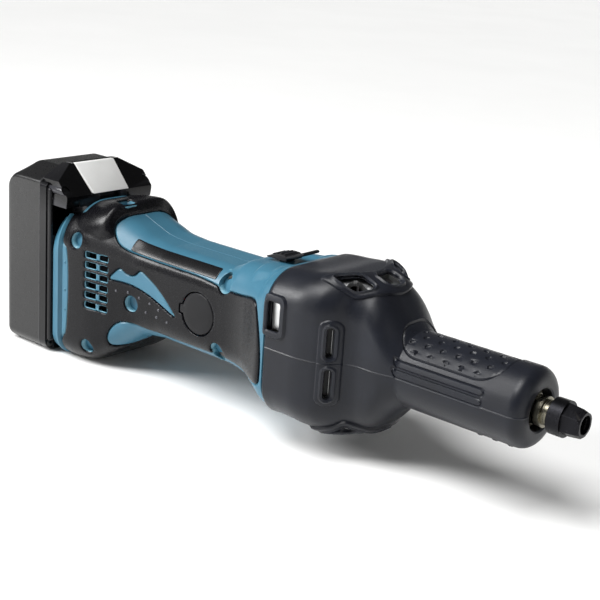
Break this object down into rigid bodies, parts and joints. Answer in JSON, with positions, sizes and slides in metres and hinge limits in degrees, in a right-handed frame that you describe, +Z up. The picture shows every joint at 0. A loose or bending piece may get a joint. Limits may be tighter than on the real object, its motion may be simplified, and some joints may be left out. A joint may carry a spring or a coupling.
{
  "type": "cordless die grinder",
  "caption": "Long-neck cordless die grinder with a straight grip, rubber boot over the nose, slide switch, collet chuck and a slide-on battery pack.",
  "frame": {"origin": "mouth of the collet's bore, on the spindle axis", "axes": "+X along the spindle towards the nose, +Y to the tool's left, +Z up, towards the switch"},
  "size_m": [0.4018, 0.081, 0.122],
  "materials": {
    "housing_plastic": "moulded glass-filled nylon, blue-green, fine satin grain",
    "soft_grip": "soft charcoal overmould, matt with a fine grain",
    "boot_rubber": "moulded dark grey rubber, matt",
    "black_plastic": "black moulded plastic, satin",
    "label_film": "plain dark film, left bare",
    "dark_steel": "black oxide steel",
    "ground_steel": "ground and hardened steel",
    "spindle_steel": "turned steel with an olive tone",
    "cast_alloy": "die-cast aluminium, lightly blasted",
    "ferrite": "sintered ferrite",
    "carbon": "pressed carbon",
    "brass": "drawn brass",
    "copper": "bare and enamelled copper",
    "seal_felt": "pressed felt",
    "lead_insulation": "red wire insulation",
    "terminal_plastic": "yellow moulded plastic",
    "pack_gloss": "black plastic, polished",
    "pack_satin": "black plastic, satin",
    "cell_sleeve": "shrink sleeve over steel cells",
    "nickel": "nickel strip",
    "board": "green laminate",
    "button_plastic": "light grey moulded plastic"
  },
  "bodies": {
    "housing": {"housing_left": "housing_plastic", "housing_right": "housing_plastic", "grip_left": "soft_grip", "grip_right": "soft_grip", "housing_screws": "dark_steel", "rating_plate": "label_film", "brush_cover_left": "black_plastic", "brush_cover_right": "black_plastic", "motor_yoke": "ground_steel", "field_magnets": "ferrite", "brush_holders": "brass", "carbon_brushes": "carbon", "brush_springs": "ground_steel", "brush_caps": "black_plastic", "rear_motor_bearing": "ground_steel", "front_motor_bearing": "ground_steel", "fan_baffle": "black_plastic", "front_housing": "cast_alloy", "spindle_sleeve": "ground_steel", "sleeve_screws": "dark_steel", "rubber_boot": "boot_rubber", "spindle_rear_bearing": "ground_steel", "spindle_front_bearing": "ground_steel", "bearing_retainer": "ground_steel", "dust_seal": "seal_felt", "switch_unit": "black_plastic", "controller": "black_plastic", "terminal_block": "terminal_plastic", "terminal_blades": "brass", "motor_leads": "lead_insulation"},
    "rotor": {"armature_shaft": "ground_steel", "armature_core": "ground_steel", "armature_windings": "copper", "commutator": "copper", "cooling_fan": "black_plastic", "drive_coupling": "ground_steel", "spindle": "spindle_steel"},
    "collet": {"collet_cone": "ground_steel"},
    "nut": {"collet_nut": "dark_steel"},
    "switch_bar": {"switch_bar": "black_plastic"},
    "switch_knob": {"switch_knob": "black_plastic"},
    "battery": {"pack_case": "pack_satin", "pack_cover": "pack_gloss", "pack_screws": "dark_steel", "battery_cells": "cell_sleeve", "cell_holders": "black_plastic", "cell_straps": "nickel", "pack_board": "board", "pack_contacts": "brass", "button_springs": "ground_steel"},
    "release": {"release_button": "button_plastic", "release_latch": "black_plastic"}
  },
  "joints": [
    {"name": "spindle_spin", "type": "hinge", "parent": "housing", "child": "rotor", "pos_m": [0, 0, 0], "axis": [1, 0, 0], "continuous": true},
    {"name": "collet_slide", "type": "slide", "parent": "rotor", "child": "collet", "axis": [1, 0, 0], "range_m": [0, 0.002]},
    {"name": "nut_turn", "type": "hinge", "parent": "collet", "child": "nut", "pos_m": [0, 0, 0], "axis": [1, 0, 0], "range_deg": [0, 722]},
    {"name": "switch_slide", "type": "slide", "parent": "housing", "child": "switch_bar", "axis": [1, 0, 0], "range_m": [0, 0.006]},
    {"name": "knob_tilt", "type": "hinge", "parent": "switch_bar", "child": "switch_knob", "pos_m": [-0.1898, 0, 0.03968], "axis": [0, 1, 0], "range_deg": [0, 3]},
    {"name": "battery_slide", "type": "slide", "parent": "housing", "child": "battery", "axis": [0, 0, 1], "range_m": [0, 0.115]},
    {"name": "button_press", "type": "slide", "parent": "battery", "child": "release", "axis": [-1, 0, 0], "range_m": [0, 0.004], "stiffness_N_per_m": 800, "deforming": ["button_springs"]}
  ],
  "couplings": [
    {"joint": "nut_turn", "follows": "collet_slide", "rad_per_m": 6283.2}
  ]
}
